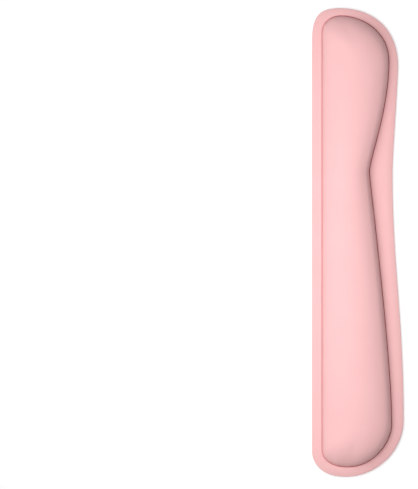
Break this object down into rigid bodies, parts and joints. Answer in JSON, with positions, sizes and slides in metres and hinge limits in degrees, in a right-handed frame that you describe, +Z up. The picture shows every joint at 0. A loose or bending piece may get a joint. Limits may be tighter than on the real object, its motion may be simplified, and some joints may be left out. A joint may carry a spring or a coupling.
{
  "type": "keyboard wrist rest",
  "caption": "Long padded wrist rest: a soft domed cushion with an off-centre notch on a thin flat mat, with a straight back edge and a non-slip honeycomb underside.",
  "frame": {"origin": "middle of the rest's bounding box, on the underside that lies on the desk", "axes": "+X along the rest to the end of its short lobe, +Y to the straight edge that meets the keyboard, -Y to the notched edge that faces the user, +Z up"},
  "size_m": [0.42, 0.082, 0.022],
  "materials": {
    "cover_knit": "matte fine stretch knit, pale pink",
    "memory_foam": "open-cell memory foam, off-white",
    "bond_film": "thin hot-melt film, pinkish",
    "support_foam": "closed-cell foam sheet, off-white",
    "base_rubber": "matte moulded rubber, dusty pink"
  },
  "bodies": {
    "root": {"top_cover": "cover_knit", "memory_foam_core": "memory_foam", "core_bond_film": "bond_film", "flange_bond_film": "bond_film", "support_sheet": "support_foam", "base_bond_film": "bond_film", "non_slip_base": "base_rubber"}
  },
  "joints": []
}
